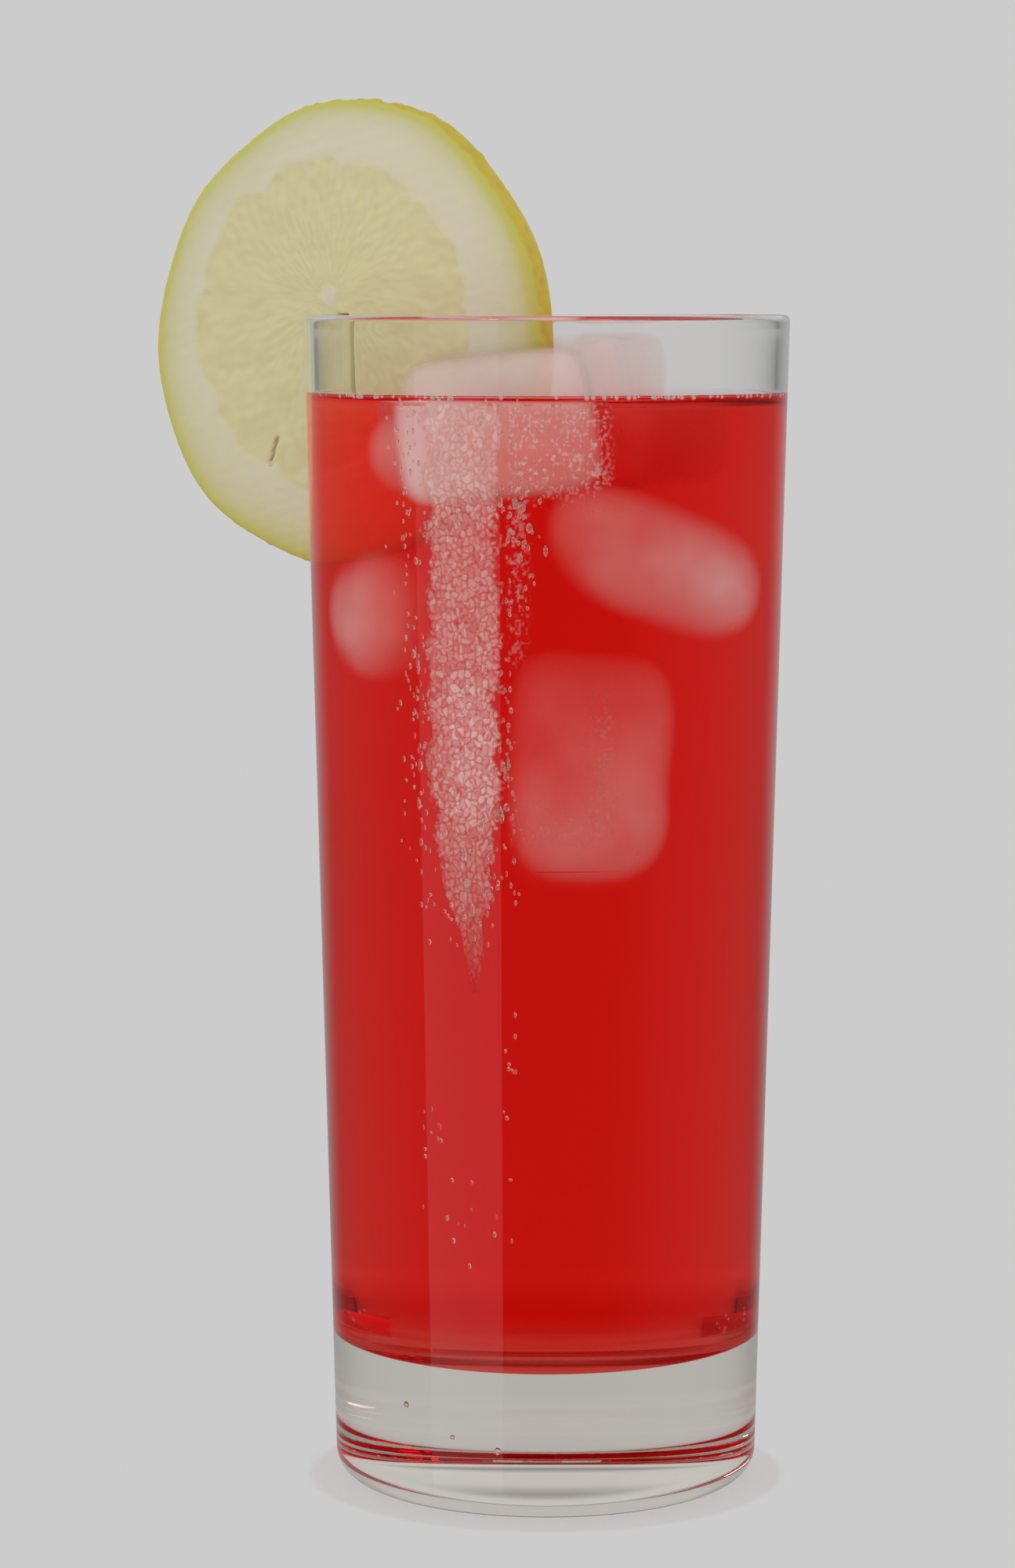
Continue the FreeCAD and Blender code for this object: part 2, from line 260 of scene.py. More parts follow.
table_look = add_node(tree, "ShaderNodeMixShader", {0: plain, 1: matt, 2: glow})
no_gloss = add_node(
    tree, "ShaderNodeMixShader", {0: path.outputs["Is Glossy Ray"], 1: table_look, 2: clear})
add_node(tree, "ShaderNodeOutputMaterial", {"Surface": no_gloss})
floor.data.materials.append(paper)


# ------------------------------------------------------------------ the glass
# A straight highball of clear soda-lime glass, blown into a mould and fire-polished at the rim.
# It has a thick clear floor, a rounded heel and a shallow hollow under the base.

glass_top = np.array(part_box("glass")[1]) / MM
HEIGHT = float(glass_top[2])
RIM_RADIUS = float(glass_top[0])
BASE_RADIUS = 28.4
WALL = 1.7
FLOOR_HEIGHT = 19.5
FLOOR_CORNER = 4.5         # rounding between the inside floor and the wall
HEEL = 4.0                 # rounding between the foot and the wall
PUNT_RADIUS = 23.2         # the hollow under the base
PUNT_DEPTH = 2.2
FOOT_EDGE = 0.5            # rounding of the hollow's edge
RIM_ROUND = 0.8
MENISCUS_RISE = 0.9
LEVEL = float(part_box("punch")[1][2]) / MM
WET_LINE = LEVEL + MENISCUS_RISE   # the punch wets the wall up to here
GLASS_AROUND = 256         # points round the glass
GLASS_IOR = 1.5
GLASS_TINT, TINT_DENSITY = "#D9CEBC", 12.0
LAST_BOUNCE = 11.5         # a ray is followed for twelve bounces
CLEAR = {"Base Color": (1, 1, 1, 1), "Roughness": 0.0, "Transmission Weight": 1.0}


def outside(height):
    """Outside radius of the tapered wall at a height."""
    return BASE_RADIUS + (RIM_RADIUS - BASE_RADIUS) * height / HEIGHT


def inside(height):
    """Inside radius of the tapered wall at a height."""
    return outside(height) - WALL


def arc(centre, radius, start, stop, steps):
    """Points of an arc in the (radius, height) plane; angles in degrees from outwards, upwards."""
    angle = np.radians(np.linspace(start, stop, steps))
    return np.stack([centre[0] + radius * np.cos(angle), centre[1] + radius * np.sin(angle)],
                    axis=-1)


def line(start, stop, steps):
    """Evenly spaced points from start to stop in the (radius, height) plane."""
    return np.linspace(start, stop, steps)


# The wall's section, from under the base round to the inside floor. Each stretch starts a little
# after the one before it, so that no two rings share a place.
ball = (PUNT_RADIUS ** 2 + PUNT_DEPTH ** 2) / (2 * PUNT_DEPTH)
punt_out = np.linspace(1.0, PUNT_RADIUS - FOOT_EDGE, 24)
punt = np.stack([punt_out, PUNT_DEPTH - ball + np.sqrt(ball ** 2 - punt_out ** 2)], axis=-1)
foot_edge = arc((PUNT_RADIUS + 0.1, FOOT_EDGE), FOOT_EDGE, 190, 270, 6)
heel = arc((outside(HEEL) - HEEL, HEEL), HEEL, -90, 0, 16)
wall_out = line(
    (outside(HEEL + 0.5), HEEL + 0.5), (outside(HEIGHT - RIM_ROUND), HEIGHT - RIM_ROUND), 60)
rim_out = arc((outside(HEIGHT) - RIM_ROUND, HEIGHT - RIM_ROUND), RIM_ROUND, 10, 90, 8)
rim_in = arc((inside(HEIGHT) + RIM_ROUND, HEIGHT - RIM_ROUND), RIM_ROUND, 90, 180, 8)
corner_centre = (inside(FLOOR_HEIGHT) - FLOOR_CORNER, FLOOR_HEIGHT + FLOOR_CORNER)
wall_dry = line((inside(HEIGHT - 1), HEIGHT - 1), (inside(WET_LINE), WET_LINE), 12)
wall_wet = line(
    (inside(WET_LINE), WET_LINE - 0.02), (inside(corner_centre[1]), corner_centre[1] + 0.3), 60)
corner = arc(corner_centre, FLOOR_CORNER, 0, -90, 16)
floor_in = line((corner_centre[0] - 0.5, FLOOR_HEIGHT), (1.0, FLOOR_HEIGHT), 16)
dry_profile = np.concatenate([punt, foot_edge, heel, wall_out, rim_out, rim_in, wall_dry])
glass_profile = np.concatenate([dry_profile, wall_wet, corner, floor_in])
glass = skin(
    "tumbler", turned(glass_profile, GLASS_AROUND), (0, 0, PUNT_DEPTH), (0, 0, FLOOR_HEIGHT))
mark_rings(glass, "wet", np.arange(len(glass_profile)) >= len(dry_profile), GLASS_AROUND)


def let_light_in(tree, surface):
    """Shader output that bends and mirrors what is seen, but lets lighting straight through.

    For a matt thing seen through glass, rays to the lamps and onward rays pass as through thin
    air, so that it is lit as it would be in the open. So does a ray at its last bounce, or one
    that has been mirrored about in the glass more often than SPENT.
    """
    ray = add_node(tree, "ShaderNodeLightPath")
    onward = add_node(
        tree, "ShaderNodeMath", {0: ray.outputs["Is Shadow Ray"], 1: ray.outputs["Diffuse Depth"]})
    lighting = add_node(tree, "ShaderNodeMath", {0: onward,
                                                 1: ray.outputs["Transmission Depth"]},
                        operation="MULTIPLY")
    far_spent = add_node(tree, "ShaderNodeMath", {0: ray.outputs["Ray Depth"],
                                                  1: LAST_BOUNCE}, operation="GREATER_THAN")
    spent = add_node(tree, "ShaderNodeMath", {0: ray.outputs["Glossy Depth"], 1: SPENT},
                     operation="GREATER_THAN")
    either = add_node(tree, "ShaderNodeMath", {0: far_spent, 1: spent})
    straight = add_node(tree, "ShaderNodeMath", {0: lighting, 1: either}, use_clamp=True)
    air = add_node(tree, "ShaderNodeBsdfTransparent")
    both = add_node(tree, "ShaderNodeMixShader", {0: straight, 1: surface, 2: air})
    return both


clear_glass, tree = new_material("fire_polished_soda_lime_glass")
# Soda-lime glass, IOR 1.5, gives a bright edge line and very little colour; through the thick
# base it turns a faint grey-green.
# Where the punch wets it, the punch's own skin does the bending, so the wall there has IOR 1.
wetness = add_node(tree, "ShaderNodeAttribute", attribute_name="wet")
dry_glass = add_node(tree, "ShaderNodeBsdfPrincipled", {**CLEAR, "IOR": GLASS_IOR})
wet_glass = add_node(tree, "ShaderNodeBsdfPrincipled", {**CLEAR, "IOR": 1.0})
glass_shader = add_node(
    tree, "ShaderNodeMixShader", {0: wetness.outputs["Fac"], 1: dry_glass, 2: wet_glass})
glass_tint = add_node(
    tree, "ShaderNodeVolumeAbsorption", {"Color": linear(GLASS_TINT), "Density": TINT_DENSITY})
add_node(tree, "ShaderNodeOutputMaterial", {"Surface": let_light_in(tree, glass_shader),
                                            "Volume": glass_tint})
glass.data.materials.append(clear_glass)
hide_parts("glass")
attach(glass, "root")


# ------------------------------------------------------------------ the punch
# Clear red fruit punch that fills the glass to a finger below the rim and climbs a little way up
# the wall as a meniscus. It reaches just into the wall, so that no air shows between.

PUNCH_IOR = 1.34
INTO_WALL = 0.3
MENISCUS_WIDTH = 0.8
PUNCH_AROUND = 192         # points round the punch
# Shares of red, green and blue: what the syrup lets by, and what the dye does, by its density.
SYRUP = (0.84, 0.16, 0.13, 1.0)
DYE = (0.989, 0.20, 0.13, 1.0)
DYE_DENSITY = 100.0


def punch_top(radius):
    """Height of the punch surface: level + rise * exp(-distance to the wall / width)."""
    gap = inside(LEVEL) - radius
    return LEVEL + MENISCUS_RISE * np.exp(-np.maximum(gap, 0) / MENISCUS_WIDTH)


punch_floor = line(
    (1.0, FLOOR_HEIGHT - INTO_WALL), (corner_centre[0] - 0.5, FLOOR_HEIGHT - INTO_WALL), 16)
punch_corner = arc(corner_centre, FLOOR_CORNER + INTO_WALL, -90, 0, 16)
punch_side = line((inside(corner_centre[1]) + INTO_WALL, corner_centre[1] + 0.3),
                  (inside(LEVEL) + INTO_WALL, LEVEL + MENISCUS_RISE), 60)
surface_out = inside(LEVEL) - np.array([-0.15, 0, 0.1, 0.2, 0.35, 0.5, 0.7, 0.9, 1.2, 1.5, 1.9,
                                        2.4, 3.0, 4.0, 6.0, 10.0, 15.0, 20.0, 25.0, 29.0])
punch_surface = np.stack([surface_out, punch_top(surface_out)], axis=-1)
punch_profile = np.concatenate([punch_floor, punch_corner, punch_side, punch_surface])
punch = skin("fruit_punch", turned(punch_profile, PUNCH_AROUND),
             (0, 0, FLOOR_HEIGHT - INTO_WALL), (0, 0, LEVEL))
# The skin lies against the glass but for the free surface. Its foot's share is 1 on the floor and
# fades out up the corner, which has a mark of its own.
on_floor, on_corner = np.ones(len(punch_floor)), np.ones(len(punch_corner))
on_side, on_top = np.ones(len(punch_side)), np.ones(len(punch_surface))
up_corner = np.minimum(np.linspace(2, 0, len(punch_corner)), 1)
for name, values in (("against_glass", (on_floor, on_corner, on_side, 0 * on_top)),
                     ("foot", (on_floor, up_corner, 0 * on_side, 0 * on_top)),
                     ("corner", (0 * on_floor, on_corner, 0 * on_side, 0 * on_top))):
    mark_rings(punch, name, np.concatenate(values), PUNCH_AROUND)

red_punch, tree = new_material("clear_red_fruit_punch")
# Sugared water, IOR 1.34, dyed red: green and blue die within a finger's width, so the middle
# is deep red and thin edges glow orange-red.
# Against the glass its skin bends light by the two indexes' ratio.
contact = add_node(tree, "ShaderNodeAttribute", attribute_name="against_glass")
free_punch = add_node(tree, "ShaderNodeBsdfPrincipled", {**CLEAR, "IOR": PUNCH_IOR})
held_punch = add_node(tree, "ShaderNodeBsdfPrincipled", {**CLEAR, "IOR": PUNCH_IOR / GLASS_IOR})
side_or_top = add_node(
    tree, "ShaderNodeMixShader", {0: contact.outputs["Fac"], 1: free_punch, 2: held_punch})
# Syrup lies at the foot and tints what passes there; its tight corner mirrors nothing.
syrup_floor = add_node(
    tree, "ShaderNodeBsdfPrincipled", {**CLEAR, "Base Color": SYRUP, "IOR": PUNCH_IOR / GLASS_IOR})
syrup_corner = add_node(
    tree, "ShaderNodeBsdfPrincipled", {**CLEAR, "Base Color": SYRUP, "IOR": 1.0})
at_corner = add_node(tree, "ShaderNodeAttribute", attribute_name="corner")
at_foot = add_node(tree, "ShaderNodeAttribute", attribute_name="foot")
foot_shader = add_node(
    tree, "ShaderNodeMixShader", {0: at_corner.outputs["Fac"], 1: syrup_floor, 2: syrup_corner})
punch_shader = add_node(
    tree, "ShaderNodeMixShader", {0: at_foot.outputs["Fac"], 1: side_or_top, 2: foot_shader})
punch_dye = add_node(tree, "ShaderNodeVolumeAbsorption", {"Color": DYE, "Density": DYE_DENSITY})
add_node(tree, "ShaderNodeOutputMaterial", {"Surface": let_light_in(tree, punch_shader),
                                            "Volume": punch_dye})
punch.data.materials.append(red_punch)
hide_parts("punch")
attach(punch, "root")


# ------------------------------------------------------------------ the ice
# Tray-made ice cubes, cloudy in the middle and melted round. Two float and break the surface;
# four are held down under them, against the front and the sides of the glass.

ICE_RINGS, ICE_AROUND = 48, 72
UNEVEN = 0.018             # share by which each slow wave swells a cube,
WAVE_SPEED = 2.2           # and how many radians it runs over the cube's half
WISP_SIZE = 12.0           # of the cloudy patches
FLOATING_SQUARENESS = 5.0
# The share that shows white at most, and how far towards the thin edge any shows.
CLOUD_IN_AIR, CLOUD_CLEARER = (0.46, 0.7), (0.33, 0.75)
CLOUD_CLOUDY, CLOUD_WHITE = (0.50, 0.48), (0.97, 0.6)


def directions(up, around):
    """Unit vectors at heights u (radians): (cos u cos v, cos u sin v, sin u), v running round."""
    turn = np.linspace(0, 2 * np.pi, around, endpoint=False)
    up = up[:, None]
    return np.stack([np.cos(up) * np.cos(turn), np.cos(up) * np.sin(turn),
                     np.sin(up) + 0 * turn], axis=-1)


def ice_cube(name, centre, sides, squareness, yaw, lean, nod, seed):
    """Melted cube: along each direction d its radius is (sum |d / half side|^n)^(-1/n).

    n is the squareness. Three slow waves of a few percent make it uneven. The cube is then
    leaned about Y, nodded about X and yawed about Z, in degrees.
    """
    way = directions(np.linspace(0, np.pi, ICE_RINGS + 2)[1:-1] - np.pi / 2, ICE_AROUND)
    poles = np.array([[0, 0, -1.0], [0, 0, 1.0]])
    random = np.random.default_rng(seed)
    waves = random.normal(size=(3, 3)) * WAVE_SPEED
    phases = random.uniform(0, 6.28, 3)

    def reach(d):
        half = np.array(sides) / 2
        radius = (np.abs(d / half) ** squareness).sum(-1) ** (-1 / squareness)
        swell = 1 + UNEVEN * np.sin(d @ waves.T + phases).sum(-1)
        return d * (radius * swell)[..., None]

    a, b, c = (math.radians(v) for v in (lean, nod, yaw))
    about_y = np.array([[math.cos(a), 0, math.sin(a)], [0, 1, 0], [-math.sin(a), 0, math.cos(a)]])
    about_x = np.array([[1, 0, 0], [0, math.cos(b), -math.sin(b)], [0, math.sin(b), math.cos(b)]])
    about_z = np.array([[math.cos(c), -math.sin(c), 0], [math.sin(c), math.cos(c), 0], [0, 0, 1]])
    turn = (about_z @ about_x @ about_y).T
    body = reach(way) @ turn + centre
    ends = reach(poles) @ turn + centre
    return skin(name, body, ends[0], ends[1])


def cloudiness(tree, most, thin_edge):
    """Share of ice that shows white: most where it is thick and faces out, none at thin edges."""
    place = add_node(tree, "ShaderNodeTexCoord")
    wisps = add_node(tree, "ShaderNodeTexNoise",
                     {"Vector": place.outputs["Object"], "Scale": 1 / (WISP_SIZE * MM),
                      "Detail": 2.0})
    edge = add_node(tree, "ShaderNodeLayerWeight", {"Blend": 0.5})
    thick = add_node(tree, "ShaderNodeMapRange",
                     {"Value": edge.outputs["Facing"], "From Min": 0.05, "From Max": thin_edge,
                      "To Min": most, "To Max": 0.0}, interpolation_type="SMOOTHSTEP")
    uneven = add_node(tree, "ShaderNodeMapRange",
                      {"Value": wisps, "From Min": 0.3, "From Max": 0.7,
                       "To Min": 0.65, "To Max": 1.35})
    return add_node(
        tree, "ShaderNodeMath", {0: thick, 1: uneven}, operation="MULTIPLY", use_clamp=True)


ice_in_air, tree = new_material("cloudy_melting_ice")
# Ice from tap water, IOR 1.31: clear at its wet edges and milky inside with trapped air.
shader = add_node(tree, "ShaderNodeBsdfPrincipled",
                  {"Base Color": linear("#F3DFDA"), "Roughness": 0.35, "IOR": 1.31,
                   "Alpha": cloudiness(tree, *CLOUD_IN_AIR)})
add_node(tree, "ShaderNodeOutputMaterial", {"Surface": shader})


def sunk_ice(name, most, thin_edge):
    """Material of ice under the punch, whose index nearly matches: only its milkiness shows."""
    made, tree = new_material(name)
    clear = add_node(tree, "ShaderNodeBsdfPrincipled", {**CLEAR, "IOR": 1.0})
    milky = add_node(tree, "ShaderNodeBsdfPrincipled",
                     {"Base Color": linear("#E4EEF0"), "Roughness": 0.6, "IOR": 1.0})
    shader = add_node(
        tree, "ShaderNodeMixShader", {0: cloudiness(tree, most, thin_edge), 1: clear, 2: milky})
    add_node(tree, "ShaderNodeOutputMaterial", {"Surface": let_light_in(tree, shader)})
    return made


clearer_ice = sunk_ice("clearer_ice_under_punch", *CLOUD_CLEARER)
cloudy_ice = sunk_ice("cloudy_ice_under_punch", *CLOUD_CLOUDY)
white_ice = sunk_ice("white_ice_under_punch", *CLOUD_WHITE)

FLOATING_ICE = [
    # name, the solid that it stands for, sides, yaw, lean, seed
    ("ice_front_cube", "ice_front", (25.5, 19.9, 20.6), 0, -7, 11),
    ("ice_back_cube", "ice_back", (16.5, 17.5, 22.2), -33, 0, 12),
]
for name, stands_for, sides, yaw, lean, seed in FLOATING_ICE:
    low, high = np.array(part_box(stands_for)) / MM
    cube = ice_cube(name, (low + high) / 2, sides, FLOATING_SQUARENESS, yaw, lean, 0, seed)
    cube.data.materials.append(ice_in_air)
    cube.data.materials.append(white_ice)
    wet = [int(face.center.z < LEVEL * MM) for face in cube.data.polygons]
    cube.data.polygons.foreach_set("material_index", wet)
    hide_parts(stands_for)
    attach(cube, "root")

SUNK_ICE = [
    # name, centre, sides, squareness, yaw, lean, nod, seed, material
    ("ice_sunk_right", (12.4, -12.2, 125.0), (33, 19, 20), 2.15, 32, 28, -16, 21, cloudy_ice),
    ("ice_sunk_left", (-18.5, -7.0, 118.0), (15, 16, 20), 2.3, -60, 0, -8, 22, cloudy_ice),
    ("ice_sunk_middle", (4.6, -13.0, 98.0), (21, 19, 32), 3.4, 8, 4, -14, 23, clearer_ice),
    ("ice_sunk_shoulder", (-14.0, -10.0, 139.0), (14, 14, 14), 2.3, -40, 5, 8, 24, cloudy_ice),
]
for name, centre, sides, squareness, yaw, lean, nod, seed, material in SUNK_ICE:
    cube = ice_cube(name, np.array(centre), sides, squareness, yaw, lean, nod, seed)
    cube.data.materials.append(material)
    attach(cube, "root")


# ------------------------------------------------------------------ the lemon slice
# A slice across a medium lemon with thick pith, nine segments and bumpy oiled peel. The knife slit
# runs from its middle to the peel, and the wall of the glass stands in it.

SLICE_RADIUS = 31.6
SLICE_HALF = 2.3               # half the thickness
SLICE_TURN = 33.0              # degrees that its outer end is turned towards the viewer
SLICE_RISE = 3.3               # how far the slit reaches past the middle
SLOT_CLEARANCE = 0.12
# Each wave of the outline: times round, share of the radius, phase.
OUTLINE_WAVES = ((2, 0.005, -1.7), (3, 0.015, 1.9), (5, 0.004, -0.3), (9, 0.006, 2.7))
PULP_CENTRE = (-2.0, 1.6)      # along the slice and up, from the middle of the slice
PULP_RADIUS = 22.8
CORE = (-2.4, 5.7)             # where the segments meet
MEMBRANES = np.radians([-77, -40, -4, 43, 83, 127, 177, 217, 249])
LOBE_DEPTH = 1.7
MEMBRANE_HALF = 0.22
MEMBRANE_SHOW = 0.08           # the membranes are wet and hardly whiter than the pulp
SEED_SLIT = ((-11.2, -13.9), (-12.5, -17.7))
SEED_DEPTH = 0.35
EDGE_ROUND = 0.35              # rounding where the knife left the peel
GLAND_BUMPS = ((0.16, 3.2, 10), (0.07, 1.3, 11))   # height, size, seed
BLOTCH_SIZE = 9.0
PORE_SIZE = 1.1
LIT_THROUGH = 0.14             # glow that stands for the backdrop behind the part in the punch
SLOT_START = 3.0               # how far down the slit the mesh lines still start
LINES = 340                    # mesh lines from the slit out to the peel
STEPS = 96                     # points on each line
PEEL_STEPS = 13                # rows over the peel, with the two that end the faces

slice_out = outside(HEIGHT) - WALL / 2
slice_up = HEIGHT + SLOT_CLEARANCE - SLICE_RISE


def outline(angle):
    """Peel radius at an angle: radius * (1 + sum of share * cos(times * angle + phase))."""
    swell = sum(share * np.cos(times * angle + phase) for times, share, phase in OUTLINE_WAVES)
    return SLICE_RADIUS * (1 + swell)


def slit_side(height, side):
    """Place along the slice of one side of the slit: the glass wall and the knife's clearance."""
    wall = outside(slice_up + height) + SLOT_CLEARANCE if side < 0 \
        else inside(slice_up + height) - SLOT_CLEARANCE
    return slice_out - wall


def smooth(low, high, value):
    """0 below low, 1 above high, and an S curve between."""
    t = np.clip((value - low) / (high - low), 0, 1)
    return t * t * (3 - 2 * t)


def pattern(x, y, scale, seed, count=24):
    """Smooth random field, mostly within -1 and 1.

    It is the sum of sines with random directions, speeds and phases, over the root of their count.
    """
    random = np.random.default_rng(seed)
    turn = random.uniform(0, 2 * np.pi, count)
    speed = 2 * np.pi / scale * random.uniform(0.6, 1.5, count)
    phase = random.uniform(0, 2 * np.pi, count)
    total = sum(
        np.sin(s * (np.cos(t) * x + np.sin(t) * y) + p) for t, s, p in zip(turn, speed, phase))
    return total / math.sqrt(count)


def lemon_parts(x, y):
    """Shares of pulp, zest and seed at points of the slice's face, and the pulp's grain.

    Pulp fills a circle seen from the core, drawn in by LOBE_DEPTH * |2s - 1|^6 towards each
    membrane, where s runs 0 to 1 across a segment. Zest fades in by exp(-distance / width)
    towards the peel, and is widest low down.
    """
    angle = np.arctan2(y, x)
    from_edge = outline(angle) - np.hypot(x, y)
    zest = np.exp(-np.maximum(from_edge - 0.5, 0) / (2.1 - 0.9 * np.sin(angle)))
    out = np.hypot(x - CORE[0], y - CORE[1])
    bearing = np.arctan2(y - CORE[1], x - CORE[0])
    order = np.sort(MEMBRANES)
    starts = np.concatenate([order - 2 * np.pi, order, order + 2 * np.pi])
    index = np.searchsorted(starts, bearing, side="right") - 1
    first, second = starts[index], starts[index + 1]
    share = (bearing - first) / (second - first)
    across = np.minimum(bearing - first, second - bearing)
    off = out * np.sin(np.minimum(across, np.pi / 2))
    # Distance from the core to the pulp circle along this bearing.
    gap = np.array(PULP_CENTRE) - np.array(CORE)
    along = gap[0] * np.cos(bearing) + gap[1] * np.sin(bearing)
    reach = along + np.sqrt(PULP_RADIUS ** 2 - gap @ gap + along ** 2)
    reach = reach - LOBE_DEPTH * np.abs(2 * share - 1) ** 6 + 0.35 * pattern(x, y, 9.0, 5)
    width = MEMBRANE_HALF + 0.5 * (out / reach) ** 6
    membrane = 1 - smooth(width * 0.5, width * 1.6, off)
    pulp = (1 - smooth(-0.5, 0.5, out - reach)) * smooth(0.9, 1.8, out)
    start, stop = np.array(SEED_SLIT)
    way = stop - start
    t = np.clip(((x - start[0]) * way[0] + (y - start[1]) * way[1]) / (way @ way), 0, 1)
    from_seed = np.hypot(x - start[0] - t * way[0], y - start[1] - t * way[1])
    seed = 1 - smooth(0.08, 0.20 + 0.30 * (1 - t), from_seed)
    # Juice sacs lie along the bearing: 1 mm wide and several long.
    grain = pattern(bearing * 9.0, out * 0.28, 1.0, 6)
    return pulp * (1 - MEMBRANE_SHOW * membrane), zest, seed, grain


step = np.linspace(0, 1, LINES)
# The peel end of the two slit lines: where each side of the slit meets the outline.
feet = []
for side in (-1, 1):
    angle = -math.pi / 2
    for _ in range(20):
        up = outline(angle) * math.sin(angle)
        angle = math.atan2(up, slit_side(up, side))
    feet.append(angle)
first_angle, last_angle = feet[0] + 2 * math.pi if feet[0] < -math.pi / 2 else feet[0], feet[1]
angle = first_angle + (last_angle - first_angle) * step
outer = np.stack([outline(angle) * np.cos(angle), outline(angle) * np.sin(angle)], axis=-1)
top_left, top_right = slit_side(SLICE_RISE, -1), slit_side(SLICE_RISE, 1)
low = SLICE_RISE - SLOT_START
corners = np.array([[slit_side(low, -1), low], [top_left, SLICE_RISE], [top_right, SLICE_RISE],
                    [slit_side(low, 1), low]])
lengths = np.concatenate([[0], np.cumsum(np.hypot(*np.diff(corners, axis=0).T))])
inner = np.stack([np.interp(step * lengths[-1], lengths, corners[:, i]) for i in (0, 1)], axis=-1)

share = np.linspace(0, 1, STEPS)[None, :, None]
face = inner[:, None] * (1 - share) + outer[:, None] * share
x, y = face[..., 0], face[..., 1]
pulp_share, zest_share, seed_share, grain = lemon_parts(x, y)
edge = np.hypot(x - outer[:, None, 0], y - outer[:, None, 1])
relief = (pulp_share * (0.025 * grain - 0.10 + 0.10 * pattern(x, y, 7.0, 8))
          - SEED_DEPTH * seed_share + 0.03 * pattern(x, y, 2.2, 9)
          - EDGE_ROUND * np.exp(-edge / EDGE_ROUND))

# The peel between the two faces bulges a little and has oil-gland bumps.
across = np.linspace(-1, 1, PEEL_STEPS)[None, 1:-1]
girth = SLICE_RADIUS * angle[:, None]
bumps = sum(
    high * pattern(girth, across * SLICE_HALF, size, seed) for high, size, seed in GLAND_BUMPS)
swell = 0.18 * (1 - across ** 4) + bumps * (1 - across ** 8)
peel_x = outer[:, None, 0] + np.cos(angle)[:, None] * swell
peel_y = outer[:, None, 1] + np.sin(angle)[:, None] * swell
peel_z = across * (SLICE_HALF - EDGE_ROUND) + 0 * angle[:, None]

# Each line's loop: front face outwards, over the peel, back face inwards.
loop_x = np.concatenate([x, peel_x, x[:, ::-1]], axis=1)
loop_y = np.concatenate([y, peel_y, y[:, ::-1]], axis=1)
loop_z = np.concatenate([-SLICE_HALF - relief, peel_z, (SLICE_HALF + relief * 0.9)[:, ::-1]],
                        axis=1)
turn = math.radians(SLICE_TURN)
points = np.stack([(loop_x - slice_out) * math.cos(turn) + loop_z * math.sin(turn),
                   -(loop_x - slice_out) * math.sin(turn) + loop_z * math.cos(turn),
                   loop_y + slice_up], axis=-1)
around = loop_x.shape[1]
here = np.arange(around)
ahead = (here + 1) % around
row = (np.arange(LINES - 1) * around)[:, None]
quads = np.stack([row + here, row + around + here, row + around + ahead, row + ahead], axis=-1)
caps = []
for line_start, flip in ((0, False), ((LINES - 1) * around, True)):
    near = line_start + np.arange(STEPS)
    far = line_start + around - 1 - np.arange(STEPS)
    strip = np.stack([near[:-1], far[:-1], far[1:], near[1:]], axis=-1)
    cap = strip if flip else strip[:, ::-1]
    caps += cap.tolist()
    peel_end = list(range(line_start + STEPS - 1, line_start + around - STEPS + 1))
    caps.append(peel_end[::-1] if flip else peel_end)
mesh = bpy.data.meshes.new("lemon_wheel")
mesh.from_pydata((points.reshape(-1, 3) * MM).tolist(), [], quads.reshape(-1, 4).tolist() + caps)
mesh.shade_smooth()


def over_loop(on_face, on_peel):
    """A share's values round the loops: over both faces and over the peel's rows."""
    return np.concatenate([on_face, on_peel + 0 * peel_x, on_face[:, ::-1]], axis=1)


mark(mesh, "pulp", over_loop(pulp_share, 0.0))
mark(mesh, "zest", over_loop(zest_share, 1.0))
mark(mesh, "peel", over_loop(0 * edge, 1 - smooth(0.55, 0.95, np.abs(across))))
mark(mesh, "seed", over_loop(seed_share, 0.0))
mark(mesh, "grain", over_loop(grain * 0.5 + 0.5, 0.5))
in_glass = np.hypot(points[..., 0], points[..., 1]) < inside(points[..., 2])
mark(mesh, "soaked", in_glass & (points[..., 2] < LEVEL))
lemon = bpy.data.objects.new("lemon_wheel", mesh)
scene.collection.objects.link(lemon)

cut_lemon, tree = new_material("cut_lemon_flesh_and_peel")
# Wet flesh is pale yellow-green and a little see-through, pith is matt off-white, and the waxy
# peel is golden with fine pores.
share_of = {name: add_node(tree, "ShaderNodeAttribute", attribute_name=name).outputs["Fac"]
            for name in ("pulp", "zest", "peel", "seed", "grain", "soaked")}
place = add_node(tree, "ShaderNodeTexCoord")
blotch = add_node(tree, "ShaderNodeTexNoise",
                  {"Vector": place.outputs["Object"], "Scale": 1 / (BLOTCH_SIZE * MM),
                   "Detail": 3.0})
sac = add_node(tree, "ShaderNodeMix", {0: share_of["grain"], 6: linear("#D3CC9C"),
                                       7: linear("#D9D3AC")}, data_type="RGBA")
# Each stuff has two tones, which the blotches mix.
flesh, pith, rind = (
    add_node(tree, "ShaderNodeMix", {0: blotch, 6: tone, 7: other},
             data_type="RGBA").outputs[2]
    for tone, other in ((sac.outputs[2], linear("#D5CE9B")),
                        (linear("#D9D5BF"), linear("#D4CFAF")),
                        (linear("#D2BD34"), linear("#CBAE3C"))))
